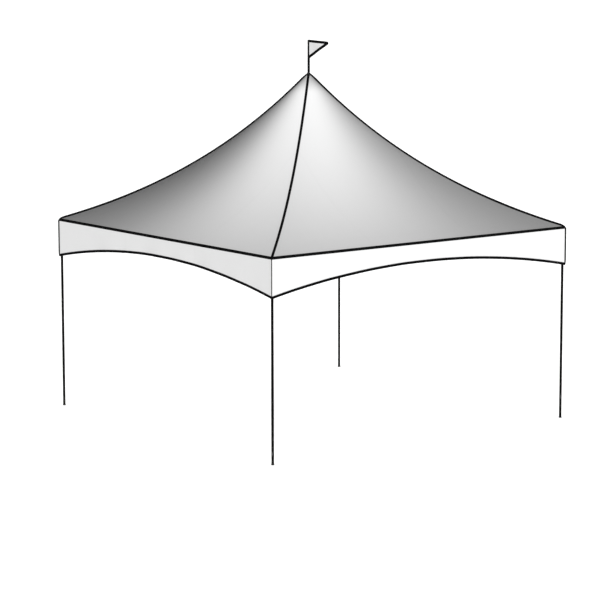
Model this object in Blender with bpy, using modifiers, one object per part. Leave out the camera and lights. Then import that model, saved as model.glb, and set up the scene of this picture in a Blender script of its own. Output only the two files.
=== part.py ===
"""A single-peak marquee tent on a free-standing frame: four legs, four eave beams, crossed cables that carry
a floating centre mast, and a tensioned canopy with arched valances. Metres, +Z up, origin on the ground
under the peak. The front faces -Y, and the front left corner is the one nearest the viewer in the picture."""

import math

import bmesh
import bpy
from mathutils import Matrix, Vector

FOOT = 0.3048
INCH = 0.0254
GAP = 0.0003  # left between pieces that touch

# Driving sizes of the whole tent
SIDE = 15 * FOOT  # square, over the outside of the eave beams
EAVE_Z = 8 * FOOT  # top edge of the valance
PEAK_RISE = 1.900  # the hip lines meet this far above the eave
HIP_SAG = 1.27  # how fast the hips flatten from peak to eave, 0 would be straight
PEAK_ROUNDNESS = 0.5  # 1 / exponent of the roof's plan at the peak, 0.5 is a circle
SQUARING = 4.5  # how soon the plan turns square on the way down
VALANCE_DEPTH = 0.485  # at the corners
ARCH_RISE = 0.233  # of the valance's lower edge, at the middle of a side
PENNANT_TOP_Z = 4.752

# Fabric
FABRIC = 0.003
ROOF_DROP = 0.004  # the roof fabric's thickness, measured straight down
WEBBING_WIDTH = 0.032
WEBBING_THICK = 0.002
ROOF_TOP_R = 0.024  # the hole in the canopy at the peak
ROOF_RINGS = 17
HALF_COLUMNS = 6
ARCH_STEPS = 28

# Frame
TUBE_SIDES = 24
LEG_R = 1.25 * INCH / 2
LEG_WALL = 0.002
BEAM_WIDE = 0.034
BEAM_TALL = 0.080
BEAM_WALL = 0.003
SPIGOT_PLAY = 0.00035  # all round, between a spigot and the tube it fills
SPIGOT_LONG = 0.120
BLOCK_PROUD = 0.008  # of the corner blocks beyond the beams' inner faces, so that the lug clears the beams
MAST_R = 0.0254
MAST_WALL = 0.003
MAST_FOOT_Z = 2.170  # height of the cable pins at the centre
MAST_TOP_Z = 4.200

# Feet
FOOT_R = 0.020
FOOT_THICK = 0.012
FOOT_CHAMFER = 0.002
STUB_TALL = 0.090

# Cable fittings
LUG_THICK = 0.008
LUG_TALL = 0.050
LUG_REACH = 0.050
LUG_HOLE_R = 0.0065
PIN_R = 0.006
CHEEK = 0.005
CHEEK_TALL = 0.024
CABLE_R = 0.004
SWAGE_R = 0.0075
STUD_R = 0.005
BARREL_R = 0.011
BARREL_START = 0.060
BARREL_END = 0.200
HUB_R = 0.038
HUB_TALL = 0.060
HUB_LUG_R = 0.085  # pins' distance from the mast's axis

# Peak fittings
CAP_R = 0.034
CAP_THICK = 0.016
COLLAR_R = 0.0195
COLLAR_TALL = 0.006
STAFF_R = LEG_R  # the same tube as the legs, up to the pennant
STAFF_PIN_R = 0.0095  # inside the pennant's sleeve
STAFF_HOLE_R = STAFF_R + 0.0004
STAFF_FOOT_Z = 4.235
HEAD_R = 0.075
HEAD_BOSS_R = 0.020
HEAD_SHOULDER_R = 0.024
HEAD_PLAY = 0.0013  # under the fabric, which hangs in flat facets round the head
PENNANT_HOIST = 0.233
PENNANT_FLY = 0.400
PENNANT_DROOP = 0.009
PENNANT_TIP = 0.020  # height of its blunt tip
SLEEVE_IN_R = 0.0103
SLEEVE_OUT_R = 0.0125
SLEEVE_TOP = 0.002

# Worked out from the above
FRAME_HALF = SIDE / 2
SKIN_HALF = FRAME_HALF + GAP + FABRIC  # outer face of the valances
HIP_REACH = SKIN_HALF * math.sqrt(2)
LEG_AXIS = FRAME_HALF - BEAM_WIDE / 2
BEAM_TOP_Z = EAVE_Z - 0.003
BEAM_LOW_Z = BEAM_TOP_Z - BEAM_TALL
BEAM_MID_Z = BEAM_TOP_Z - BEAM_TALL / 2
BLOCK_INSIDE = FRAME_HALF - BEAM_WIDE - BLOCK_PROUD  # the corner blocks' inner faces
LUG_PIN_R = BLOCK_INSIDE * math.sqrt(2) - 0.031  # pins' distance from the tent's axis

SIDES = {"front": 0, "right": 90, "back": 180, "left": 270}
CORNERS = {"front_left": 0, "front_right": 90, "back_right": 180, "back_left": 270}


# Roof shape

def hip_height(r):
    """Height of a hip line at a distance r from the tent's axis."""
    flat = math.exp(-HIP_SAG)
    return EAVE_Z + PEAK_RISE * (math.exp(-HIP_SAG * r / HIP_REACH) - flat) / (1 - flat)


def roof_point(r, t):
    """A point of the front roof face at the level where the hips are r from the axis. t is -1 and 1 at the
    hips and 0 midway. The plan at each level is a superellipse, round at the peak and square at the eave."""
    roundness = PEAK_ROUNDNESS * max(0.0, 1 - r / HIP_REACH) ** SQUARING
    swell = 1.0
    if roundness > 0.002:
        swell = (2 / (1 + abs(t) ** (1 / roundness))) ** roundness
    out = r / math.sqrt(2) * swell
    return Vector((out * t, -out, hip_height(r)))


def cap_rim():
    """Hip distance at which the webbing starts, just outside the peak cap."""
    return CAP_R + 0.002


def webbing_edge(r):
    """The t at which the roof is half a webbing's width from the hip, at one level below the peak cap."""
    r = max(r, cap_rim())
    hip = roof_point(r, 1)
    low, high = 0.0, 1.0
    for _ in range(40):
        middle = (low + high) / 2
        if (roof_point(r, middle) - hip).length > WEBBING_WIDTH / 2:
            low = middle
        else:
            high = middle
    return (low + high) / 2


def ring_radii():
    """Hip distances of the roof's rings: the hole, the cap's rim, then wider steps down to the eave."""
    rim = cap_rim()
    steps = [(i / ROOF_RINGS) ** 1.25 for i in range(ROOF_RINGS + 1)]
    return [ROOF_TOP_R] + [rim + (HIP_REACH - rim) * step for step in steps]


def column_places(r):
    """The t of the roof's columns at one level: hip, webbing edge, then closer steps towards the hips."""
    edge = webbing_edge(r)
    inner = [
        edge * math.sin(math.pi / 2 * j / HALF_COLUMNS)
        for j in range(-HALF_COLUMNS, HALF_COLUMNS + 1)
    ]
    return [-1.0] + inner + [1.0]


# Making and placing pieces

def clear_scene():
    for thing in list(bpy.data.objects):
        bpy.data.objects.remove(thing)


def new_collection(name):
    collection = bpy.data.collections.new(name)
    bpy.context.scene.collection.children.link(collection)
    return collection


def new_material(name, colour, roughness, metallic):
    material = bpy.data.materials.new(name)
    material.use_nodes = True
    shader = material.node_tree.nodes["Principled BSDF"]
    shader.inputs["Base Color"].default_value = (*colour, 1)
    shader.inputs["Roughness"].default_value = roughness
    shader.inputs["Metallic"].default_value = metallic
    return material


clear_scene()
tent = new_collection("marquee_tent")
workshop = new_collection("workshop")

BLACK_STEEL = new_material("black_steel", (0.012, 0.012, 0.013), 0.42, 0.0)
GALVANISED = new_material("galvanised_steel", (0.52, 0.53, 0.54), 0.38, 1.0)
CANOPY_PVC = new_material("canopy_pvc", (0.86, 0.86, 0.86), 0.45, 0.0)
WEBBING = new_material("black_webbing", (0.015, 0.015, 0.016), 0.75, 0.0)
BLACK_PLASTIC = new_material("black_plastic", (0.014, 0.014, 0.015), 0.5, 0.0)
FOOT_RUBBER = new_material("foot_rubber", (0.02, 0.02, 0.021), 0.8, 0.0)
PENNANT_CLOTH = new_material("pennant_cloth", (0.74, 0.74, 0.74), 0.7, 0.0)


def mesh_of(build):
    """A mesh from a function that fills a bmesh."""
    work = bmesh.new()
    build(work)
    bmesh.ops.recalc_face_normals(work, faces=work.faces[:])
    mesh = bpy.data.meshes.new("piece")
    work.to_mesh(mesh)
    work.free()
    return mesh


def box(low, high):
    """A box from its lowest to its highest corner."""
    low, high = Vector(low), Vector(high)
    size = Matrix.Diagonal((*(high - low), 1))
    place = Matrix.Translation((low + high) / 2) @ size
    return mesh_of(lambda work: bmesh.ops.create_cube(work, size=1, matrix=place))


def rod(start, end, radius, sides=TUBE_SIDES):
    """A round bar between two points."""
    start, end = Vector(start), Vector(end)
    along = end - start
    place = Matrix.Translation((start + end) / 2) @ along.to_track_quat("Z", "Y").to_matrix().to_4x4()
    return mesh_of(
        lambda work: bmesh.ops.create_cone(
            work, cap_ends=True, segments=sides, radius1=radius, radius2=radius,
            depth=along.length, matrix=place,
        )
    )


def helper(mesh):
    """A temporary object, left out of the render."""
    thing = bpy.data.objects.new("helper", mesh)
    workshop.objects.link(thing)
    thing.hide_render = True
    thing.display_type = "WIRE"
    return thing


def evaluated_mesh(thing):
    """The mesh that an object's modifiers make."""
    bpy.context.view_layer.update()
    graph = bpy.context.evaluated_depsgraph_get()
    mesh = bpy.data.meshes.new_from_object(thing.evaluated_get(graph))
    mesh.transform(thing.matrix_world)
    return mesh


def combined(first, others, operation):
    """The first mesh with the others joined to it or cut from it."""
    base = helper(first)
    tools = [helper(other) for other in others]
    for tool in tools:
        step = base.modifiers.new("combine", "BOOLEAN")
        step.operation = operation
        step.solver = "EXACT"
        step.object = tool
    mesh = evaluated_mesh(base)
    for thing in [base, *tools]:
        bpy.data.objects.remove(thing)
    return mesh


def joined(*meshes):
    return combined(meshes[0], meshes[1:], "UNION")


def cut(mesh, *cutters):
    return combined(mesh, cutters, "DIFFERENCE")


def turned(profile, sides=TUBE_SIDES, closed=False):
    """A round piece from (radius, height) points that run down its outer side. A closed profile is a ring's
    section; any other starts and ends on the axis."""
    mesh = bpy.data.meshes.new("profile")
    last = len(profile)
    edges = [(i, i + 1) for i in range(last - 1)]
    if closed:
        edges.append((last - 1, 0))
    mesh.from_pydata([(r, 0, z) for r, z in profile], edges, [])
    thing = helper(mesh)
    spin = thing.modifiers.new("turn", "SCREW")
    spin.steps = spin.render_steps = sides
    spin.use_merge_vertices = True
    spin.merge_threshold = 0.0001
    result = evaluated_mesh(thing)
    bpy.data.objects.remove(thing)
    return result


def flat_outline(points, thickness):
    """A flat plate in the XZ plane from the points of its outline, with its middle at y = 0."""
    curve = bpy.data.curves.new("outline", "CURVE")
    curve.dimensions = "2D"
    curve.fill_mode = "BOTH"
    curve.extrude = thickness / 2
    line = curve.splines.new("POLY")
    line.points.add(len(points) - 1)
    for point, (x, z) in zip(line.points, points):
        point.co = (x, z, 0, 1)
    line.use_cyclic_u = True
    thing = helper(curve)
    thing.rotation_euler.x = math.pi / 2
    mesh = evaluated_mesh(thing)
    bpy.data.objects.remove(thing)
    work = bmesh.new()
    work.from_mesh(mesh)
    bmesh.ops.remove_doubles(work, verts=work.verts[:], dist=0.00001)
    bmesh.ops.recalc_face_normals(work, faces=work.faces[:])
    work.to_mesh(mesh)
    work.free()
    return mesh


def hung_sheet(grid, thickness):
    """A sheet from rows of points on its upper face, given its thickness straight down."""
    rows, columns = len(grid), len(grid[0])

    def build(work):
        bmesh.ops.create_grid(work, x_segments=columns - 1, y_segments=rows - 1, size=1)
        for vertex in work.verts:
            column = round((vertex.co.x + 1) / 2 * (columns - 1))
            row = round((vertex.co.y + 1) / 2 * (rows - 1))
            vertex.co = grid[row][column]
        bmesh.ops.triangulate(work, faces=work.faces[:])
        lower = bmesh.ops.extrude_face_region(work, geom=work.faces[:], use_keep_orig=True)
        moved = [item for item in lower["geom"] if isinstance(item, bmesh.types.BMVert)]
        bmesh.ops.translate(work, verts=moved, vec=(0, 0, -thickness))

    return mesh_of(build)


def place(name, mesh, material, location=(0, 0, 0), turn=0, smooth=True):
    """A named piece of the tent, turned about the tent's axis by some degrees with its place."""
    mesh.materials.clear()
    mesh.materials.append(material)
    if smooth:
        mesh.shade_smooth()
        mesh.set_sharp_from_angle(angle=math.radians(35))
    piece = bpy.data.objects.new(name, mesh)
    tent.objects.link(piece)
    spin = Matrix.Rotation(math.radians(turn), 4, "Z")
    piece.location = spin @ Vector(location)
    piece.rotation_euler.z = math.radians(turn)
    return piece


def at_each(where, name, mesh, material, location=(0, 0, 0), smooth=True):
    """The same piece on all four sides or corners. It is made for the front or the front left."""
    for spot, turn in where.items():
        place(f"{name}_{spot}", mesh, material, location, turn, smooth)


# Feet: a small round foot with a stub inside the leg

def foot():
    stub_r = LEG_R - LEG_WALL - SPIGOT_PLAY
    return turned(
        [
            (0, STUB_TALL),
            (stub_r, STUB_TALL),
            (stub_r, FOOT_THICK),
            (FOOT_R, FOOT_THICK),
            (FOOT_R, FOOT_CHAMFER),
            (FOOT_R - FOOT_CHAMFER, 0),
            (0, 0),
        ]
    )


# Legs: straight steel tubes between foot and corner block

def tube(low, high, radius, wall):
    """An open-ended tube along Z."""
    inner = radius - wall
    return turned([(radius, high), (radius, low), (inner, low), (inner, high)], closed=True)


def leg():
    return tube(FOOT_THICK + GAP, BEAM_LOW_Z - GAP, LEG_R, LEG_WALL)


# Corner blocks: a square steel block with spigots into the leg and both beams, and a lug for the cable

def cable_lug(pin, reach, root, height):
    """A rounded plate in the XZ plane with a pin hole. It runs in +X from its root past the pin."""
    low, high = height - LUG_TALL / 2, height + LUG_TALL / 2
    plate = box((root, -LUG_THICK / 2, low), (pin + reach, LUG_THICK / 2, high))
    work = bmesh.new()
    work.from_mesh(plate)
    tips = [
        e for e in work.edges
        if min(v.co.x for v in e.verts) > pin and abs(e.verts[0].co.y - e.verts[1].co.y) > LUG_THICK / 2
    ]
    bmesh.ops.bevel(work, geom=tips, offset=reach * 0.75, segments=4, profile=0.5, affect="EDGES")
    work.to_mesh(plate)
    work.free()
    return plate


def corner_block():
    """In a frame with its origin on the ground, on the leg's axis. The tent's centre lies towards +X +Y."""
    half = BEAM_WIDE / 2
    inside = half + BLOCK_PROUD
    block = box((-half, -half, BEAM_LOW_Z), (inside, inside, BEAM_TOP_Z))
    leg_spigot_r = LEG_R - LEG_WALL - SPIGOT_PLAY
    leg_spigot = rod((0, 0, BEAM_LOW_Z - SPIGOT_LONG), (0, 0, BEAM_LOW_Z + 0.01), leg_spigot_r)
    inset = BEAM_WALL + SPIGOT_PLAY
    low, high = BEAM_LOW_Z + inset, BEAM_TOP_Z - inset
    slim = half - inset
    tip = inside + SPIGOT_LONG
    along_x = box((0, -slim, low), (tip, slim, high))
    along_y = box((-slim, 0, low), (slim, tip, high))
    pin = (LEG_AXIS * math.sqrt(2)) - LUG_PIN_R
    lug = cable_lug(pin, 0.018, 0.012, BEAM_MID_Z)
    lug.transform(Matrix.Rotation(math.radians(45), 4, "Z"))
    towards = Matrix.Rotation(math.radians(45), 4, "Z")
    across = [towards @ Vector((pin, side * 0.03, BEAM_MID_Z)) for side in (-1, 1)]
    hole = rod(*across, LUG_HOLE_R, 16)
    return cut(joined(block, leg_spigot, along_x, along_y, lug), hole)


# Eave beams: box sections between the corner blocks

def eave_beam():
    half = BLOCK_INSIDE - GAP
    outer = box((-half, -BEAM_WIDE / 2, BEAM_LOW_Z), (half, BEAM_WIDE / 2, BEAM_TOP_Z))
    inner_wide = BEAM_WIDE / 2 - BEAM_WALL
    past = half + 0.05
    inner = box(
        (-past, -inner_wide, BEAM_LOW_Z + BEAM_WALL),
        (past, inner_wide, BEAM_TOP_Z - BEAM_WALL),
    )
    return cut(outer, inner)


# Cables: from a lug at each corner to the mast foot, with a turnbuckle at the corner end

def cable_frame():
    """The matrix of a frame at the front left lug's pin, with +X along the cable towards the mast foot and
    +Y level, and the cable's length from pin to pin."""
    diagonal = Vector((-1, -1, 0)).normalized()
    outer = diagonal * LUG_PIN_R + Vector((0, 0, BEAM_MID_Z))
    inner = diagonal * HUB_LUG_R + Vector((0, 0, MAST_FOOT_Z))
    along = (inner - outer).normalized()
    level = Vector((0, 0, 1)).cross(along).normalized()
    up = along.cross(level)
    axes = Matrix((along, level, up)).transposed().to_4x4()
    return Matrix.Translation(outer) @ axes, (inner - outer).length


def fork(pin, way):
    """The pieces of a clevis round a lug. Its pin is at x = pin, and it closes towards way, 1 or -1."""
    inside = LUG_THICK / 2 + GAP
    outside = inside + CHEEK
    tall = CHEEK_TALL / 2

    def block(start, end, low_y, high_y):
        ends = sorted((pin + way * start, pin + way * end))
        return box((ends[0], low_y, -tall), (ends[1], high_y, tall))

    return [
        block(0.022, 0.032, -outside, outside),
        block(-0.011, 0.027, inside, outside),
        block(-0.011, 0.027, -outside, -inside),
        rod((pin, -outside - 0.004, 0), (pin, outside + 0.004, 0), PIN_R, 16),
    ]


def turnbuckle():
    stud = rod((0.027, 0, 0), (BARREL_START + 0.01, 0, 0), STUD_R, 12)
    barrel = rod((BARREL_START, 0, 0), (BARREL_END, 0, 0), BARREL_R, 16)
    return joined(*fork(0, 1), stud, barrel)


def cable(length):
    stud = rod((BARREL_END + GAP, 0, 0), (BARREL_END + 0.045, 0, 0), STUD_R, 12)
    swages = [
        rod((BARREL_END + 0.035, 0, 0), (BARREL_END + 0.095, 0, 0), SWAGE_R, 12),
        rod((length - 0.100, 0, 0), (length - 0.027, 0, 0), SWAGE_R, 12),
    ]
    wire = rod((BARREL_END + 0.090, 0, 0), (length - 0.095, 0, 0), CABLE_R, 12)
    return joined(stud, swages[0], wire, swages[1], *fork(length, -1))


# Mast foot: a hub with four lugs for the cables and a spigot up into the mast

def mast_foot():
    low, high = MAST_FOOT_Z - HUB_TALL / 2, MAST_FOOT_Z + HUB_TALL / 2
    spigot_r = MAST_R - MAST_WALL - SPIGOT_PLAY
    body = turned(
        [(0, high + 0.08), (spigot_r, high + 0.08), (spigot_r, high), (HUB_R, high), (HUB_R, low), (0, low)]
    )
    lugs, holes = [], []
    for corner in range(4):
        swing = Matrix.Rotation(math.radians(45 + 90 * corner), 4, "Z")
        lug = cable_lug(HUB_LUG_R, 0.018, 0.020, MAST_FOOT_Z)
        lug.transform(swing)
        lugs.append(lug)
        hole = rod((HUB_LUG_R, -0.03, MAST_FOOT_Z), (HUB_LUG_R, 0.03, MAST_FOOT_Z), LUG_HOLE_R, 16)
        hole.transform(swing)
        holes.append(hole)
    return cut(joined(body, *lugs), *holes)


def mast():
    return tube(MAST_FOOT_Z + HUB_TALL / 2 + GAP, MAST_TOP_Z, MAST_R, MAST_WALL)


# Mast head: a cone under the canopy's peak, with a boss through its hole and a bore for the staff

def under_roof(r):
    """Height of the mast head's cone at a distance r from the axis, just under the middles of the panels."""
    middle = -roof_point(r, 0).y / r
    return hip_height(r / middle) - ROOF_DROP - HEAD_PLAY


def boss_top():
    return hip_height(HEAD_BOSS_R)


def mast_head():
    spigot_r = MAST_R - MAST_WALL - SPIGOT_PLAY
    seat_z = MAST_TOP_Z + GAP
    return turned(
        [
            (0, STAFF_FOOT_Z),
            (STAFF_HOLE_R, STAFF_FOOT_Z),
            (STAFF_HOLE_R, boss_top()),
            (HEAD_BOSS_R, boss_top()),
            (HEAD_BOSS_R, under_roof(HEAD_SHOULDER_R)),
            (HEAD_SHOULDER_R, under_roof(HEAD_SHOULDER_R)),
            (HEAD_R, under_roof(HEAD_R)),
            (HEAD_R, under_roof(HEAD_R) - 0.012),
            (0.040, seat_z),
            (spigot_r, seat_z),
            (spigot_r, seat_z - 0.06),
            (0, seat_z - 0.06),
        ]
    )


# Peak cap: a cone over the edge of the hole in the canopy, with a collar round the staff

def peak_cap():
    over = 2 * GAP
    hole_r = STAFF_HOLE_R
    shoulder = hip_height(COLLAR_R) + over + CAP_THICK
    return turned(
        [
            (hole_r, shoulder + COLLAR_TALL),
            (COLLAR_R, shoulder + COLLAR_TALL),
            (COLLAR_R, shoulder),
            (CAP_R, hip_height(CAP_R) + over + CAP_THICK),
            (CAP_R, hip_height(CAP_R) + over),
            (HEAD_BOSS_R, boss_top() + over),
            (hole_r, boss_top() + over),
        ],
        closed=True,
    )


# Flag staff and pennant. The staff steps down to a thin pin. The pennant's sleeve, sewn shut at the top,
# hangs on the pin and turns on it

def flag_staff():
    foot_z = STAFF_FOOT_Z + GAP
    step_z = PENNANT_TOP_Z - PENNANT_HOIST - GAP
    top_z = PENNANT_TOP_Z - SLEEVE_TOP - GAP
    return turned(
        [
            (0, top_z),
            (STAFF_PIN_R, top_z),
            (STAFF_PIN_R, step_z),
            (STAFF_R, step_z),
            (STAFF_R, foot_z),
            (0, foot_z),
        ]
    )


def pennant():
    """In a frame with its origin on the staff's axis, at the sleeve's lower end."""
    top = PENNANT_HOIST
    sleeve = turned(
        [
            (0, top),
            (SLEEVE_OUT_R, top),
            (SLEEVE_OUT_R, 0),
            (SLEEVE_IN_R, 0),
            (SLEEVE_IN_R, top - SLEEVE_TOP),
            (0, top - SLEEVE_TOP),
        ]
    )
    seam = (SLEEVE_IN_R + SLEEVE_OUT_R) / 2
    tip_top = top - PENNANT_DROOP
    tip_low = tip_top - PENNANT_TIP
    outline = [(seam, 0.001), (seam, top - 0.001), (PENNANT_FLY, tip_top), (PENNANT_FLY, tip_low)]
    cloth = flat_outline(outline, FABRIC)
    cloth.transform(Matrix.Rotation(math.radians(-90), 4, "Z"))
    return joined(sleeve, cloth)


# Canopy: four roof panels, webbing along the hips, and a valance on each side

def roof_panel():
    radii = ring_radii()
    grid = [[roof_point(r, t) for t in column_places(r)] for r in reversed(radii)]
    return hung_sheet(grid, ROOF_DROP)


def hip_webbing():
    """Over the front left hip. It lies on the first column of the two panels that meet there."""
    lift = Vector((0, 0, GAP + WEBBING_THICK))
    rows = []
    for r in reversed(ring_radii()[1:]):
        hip = roof_point(r, -1)
        on_front = roof_point(r, -webbing_edge(r))
        on_left = Vector((on_front.y, on_front.x, on_front.z))
        rows.append([on_left + lift, hip + lift, on_front + lift])
    return hung_sheet(rows, WEBBING_THICK)


def valance_low_edge(x):
    """Height of the arched lower edge at a distance x from the middle of a side."""
    radius = (SKIN_HALF**2 + ARCH_RISE**2) / (2 * ARCH_RISE)
    crown = EAVE_Z - VALANCE_DEPTH + ARCH_RISE
    return crown - radius + math.sqrt(radius**2 - x**2)


def valance():
    """It covers the whole front at the left end, and stops behind the right side's valance at the other."""
    left, right = -SKIN_HALF, SKIN_HALF - FABRIC - GAP
    top = EAVE_Z - ROOF_DROP - GAP
    low = []
    for i in range(ARCH_STEPS + 1):
        x = left + (right - left) * i / ARCH_STEPS
        low.append((x, valance_low_edge(x)))
    return flat_outline([*low, (right, top), (left, top)], FABRIC)


def build():
    corner_at = (-LEG_AXIS, -LEG_AXIS, 0)
    at_each(CORNERS, "foot", foot(), FOOT_RUBBER, corner_at)
    at_each(CORNERS, "leg", leg(), BLACK_STEEL, corner_at)
    at_each(CORNERS, "corner_block", corner_block(), BLACK_STEEL, corner_at)
    at_each(SIDES, "eave_beam", eave_beam(), BLACK_STEEL, (0, -LEG_AXIS, 0), smooth=False)

    to_cable, length = cable_frame()
    buckle, line = turnbuckle(), cable(length)
    buckle.transform(to_cable)
    line.transform(to_cable)
    at_each(CORNERS, "turnbuckle", buckle, GALVANISED)
    at_each(CORNERS, "cable", line, GALVANISED)

    place("mast_foot", mast_foot(), BLACK_STEEL)
    place("mast", mast(), BLACK_STEEL)
    place("mast_head", mast_head(), BLACK_STEEL)
    place("peak_cap", peak_cap(), BLACK_PLASTIC)
    place("flag_staff", flag_staff(), BLACK_STEEL)

    swivel = bpy.data.objects.new("pennant_swivel", None)
    swivel.location.z = PENNANT_TOP_Z - PENNANT_HOIST
    tent.objects.link(swivel)
    flag = place("pennant", pennant(), PENNANT_CLOTH)
    flag.parent = swivel

    # Each panel is moved out a little, so that its hip edges stand clear of its neighbours'
    at_each(SIDES, "roof_panel", roof_panel(), CANOPY_PVC, (0, -GAP * 0.75, 0))
    at_each(CORNERS, "hip_webbing", hip_webbing(), WEBBING)
    skin_middle = SKIN_HALF - FABRIC / 2
    at_each(SIDES, "valance", valance(), CANOPY_PVC, (0, -skin_middle, 0), smooth=False)


build()
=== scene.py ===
import math

import bmesh
import bpy
from mathutils import Matrix, Vector


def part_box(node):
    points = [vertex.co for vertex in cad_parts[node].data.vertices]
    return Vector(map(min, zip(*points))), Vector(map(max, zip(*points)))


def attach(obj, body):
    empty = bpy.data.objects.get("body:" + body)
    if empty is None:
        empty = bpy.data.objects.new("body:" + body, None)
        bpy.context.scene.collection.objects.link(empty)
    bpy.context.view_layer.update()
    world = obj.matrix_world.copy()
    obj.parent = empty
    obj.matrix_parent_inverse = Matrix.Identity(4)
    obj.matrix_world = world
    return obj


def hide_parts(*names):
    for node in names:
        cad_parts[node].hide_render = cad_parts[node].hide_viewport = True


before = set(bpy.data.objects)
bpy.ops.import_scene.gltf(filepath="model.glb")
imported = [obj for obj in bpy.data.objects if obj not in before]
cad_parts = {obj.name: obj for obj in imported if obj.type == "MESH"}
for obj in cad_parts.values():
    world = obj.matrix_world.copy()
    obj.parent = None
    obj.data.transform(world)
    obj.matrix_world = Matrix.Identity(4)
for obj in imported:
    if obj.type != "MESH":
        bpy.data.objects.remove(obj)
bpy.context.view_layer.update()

# Camera: it stands well back from the tent's front left corner with a long lens, at nearly three times the
# height of the eaves, and looks down a little.
CAMERA_AT = (-19.805, -25.871, 6.523)
CAMERA_TURN = 37.235
CAMERA_DIP = 8.858
CAMERA_ROLL = -0.093
LENS_MM = 155.19
SEES_TO = 2000

camera = bpy.data.objects.new("camera", bpy.data.cameras.new("camera"))
camera.data.lens = LENS_MM
camera.data.clip_end = SEES_TO
camera.location = CAMERA_AT
turned = Matrix.Rotation(math.radians(-CAMERA_TURN), 3, "Z")
dipped = Matrix.Rotation(math.radians(90 - CAMERA_DIP), 3, "X")
rolled = Matrix.Rotation(math.radians(CAMERA_ROLL), 3, "Z")
camera.rotation_euler = (turned @ dipped @ rolled).to_euler()
bpy.context.scene.collection.objects.link(camera)
bpy.context.scene.camera = camera

# Feet: a round rubber foot under each leg, moulded round a steel stub. Dust and grit from the ground cling
# to its lower edge. The corners and sides are listed with their turns about the tent's axis, in degrees.
CORNERS = {"front_left": 0, "front_right": 90, "back_right": 180, "back_left": 270}
SIDES = {"front": 0, "right": 90, "back": 180, "left": 270}
RUBBER = (0.014, 0.014, 0.015)
DUST = (0.16, 0.145, 0.12)
DUSTY_BELOW = 0.013
GRIT_DEEP = 0.0004
MIX_SHARE, MIX_FIRST, MIX_SECOND, MIX_COLOUR = 0, 6, 7, 2


class Value:
    """A socket of a finish. Arithmetic on it, with numbers or other sockets, adds Math nodes."""

    def __init__(self, finish, socket):
        self.finish = finish
        self.socket = socket

    def maths(self, operation, first, second=0.0):
        return self.finish.node("Math", {"operation": operation}, {0: first, 1: second})

    def __add__(self, other):
        return self.maths("ADD", self, other)

    def __radd__(self, other):
        return self.maths("ADD", other, self)

    def __sub__(self, other):
        return self.maths("SUBTRACT", self, other)

    def __rsub__(self, other):
        return self.maths("SUBTRACT", other, self)

    def __mul__(self, other):
        return self.maths("MULTIPLY", self, other)

    def __rmul__(self, other):
        return self.maths("MULTIPLY", other, self)

    def __abs__(self):
        return self.maths("ABSOLUTE", self)

    def sine(self):
        return self.maths("SINE", self)


class Finish:
    """A surface finish: one Principled shader and the nodes that drive it."""

    def __init__(self, name, colour, roughness, metallic=0.0, specular=0.5):
        self.material = bpy.data.materials.new(name)
        self.material.use_nodes = True
        self.tree = self.material.node_tree
        self.shader = self.tree.nodes["Principled BSDF"]
        self.give("Base Color", (*colour, 1))
        self.give("Roughness", roughness)
        self.give("Metallic", metallic)
        self.give("Specular IOR Level", specular)

    def plug(self, socket, value):
        if isinstance(value, Value):
            self.tree.links.new(value.socket, socket)
        else:
            socket.default_value = value

    def give(self, name, value):
        """Sets or drives one of the shader's inputs."""
        self.plug(self.shader.inputs[name], value)

    def node(self, kind, settings, inputs, output=0):
        """Adds any node: its settings first, then the numbers or links of its inputs. Gives one output."""
        node = self.tree.nodes.new("ShaderNode" + kind)
        for name, value in settings.items():
            setattr(node, name, value)
        for key, value in inputs.items():
            self.plug(node.inputs[key], value)
        return Value(self, node.outputs[output])

    def own_space(self):
        """A point in the piece's own space, in metres."""
        return self.node("TexCoord", {}, {}, "Object")

    def cloth_map(self, name="cloth"):
        """A point on one of the piece's own maps, in metres of cloth."""
        return self.node("UVMap", {"uv_map": name}, {})

    def place(self, axis):
        """One of a point's own coordinates: 0, 1 or 2 for X, Y or Z."""
        return self.node("SeparateXYZ", {}, {0: self.own_space()}, axis)

    def over(self, axis, map_name="cloth"):
        """A distance over a cloth: 0 across it or 1 along it."""
        return self.node("SeparateXYZ", {}, {0: self.cloth_map(map_name)}, axis)

    def noise(self, scale, detail=2.0, stretch=(1, 1, 1), on_cloth=False):
        """Noise from 0 to 1 in the piece's own space, or over its cloth map. The stretch multiplies the
        scale along each axis."""
        point = self.cloth_map() if on_cloth else self.own_space()
        point = self.node("Mapping", {}, {"Vector": point, "Scale": stretch})
        return self.node("TexNoise", {}, {"Vector": point, "Scale": scale, "Detail": detail})

    def step(self, value, low, high):
        """A smooth step from 0 to 1 as the value goes from low to high, either way round."""
        if low > high:
            return 1 - self.step(value, high, low)
        inputs = {"Value": value, "From Min": low, "From Max": high}
        return self.node("MapRange", {"interpolation_type": "SMOOTHSTEP"}, inputs)

    def mix(self, share, first, second):
        """A colour between two colours."""
        first, second = (tone if isinstance(tone, Value) else (*tone, 1) for tone in (first, second))
        inputs = {MIX_SHARE: share, MIX_FIRST: first, MIX_SECOND: second}
        return self.node("Mix", {"data_type": "RGBA"}, inputs, MIX_COLOUR)

    def grey(self, tone):
        """A neutral colour from one number."""
        return self.node("CombineXYZ", {}, {0: tone, 1: tone, 2: tone})

    def relief(self, height, distance):
        """Bump from a height of 0 to 1 that stands for a distance in metres."""
        inputs = {"Height": height, "Distance": distance, "Strength": 1.0}
        self.give("Normal", self.node("Bump", {}, inputs))


def dress(finish, *names):
    """Gives nodes of the frame a finish."""
    for name in names:
        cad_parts[name].material_slots[0].material = finish.material


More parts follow.
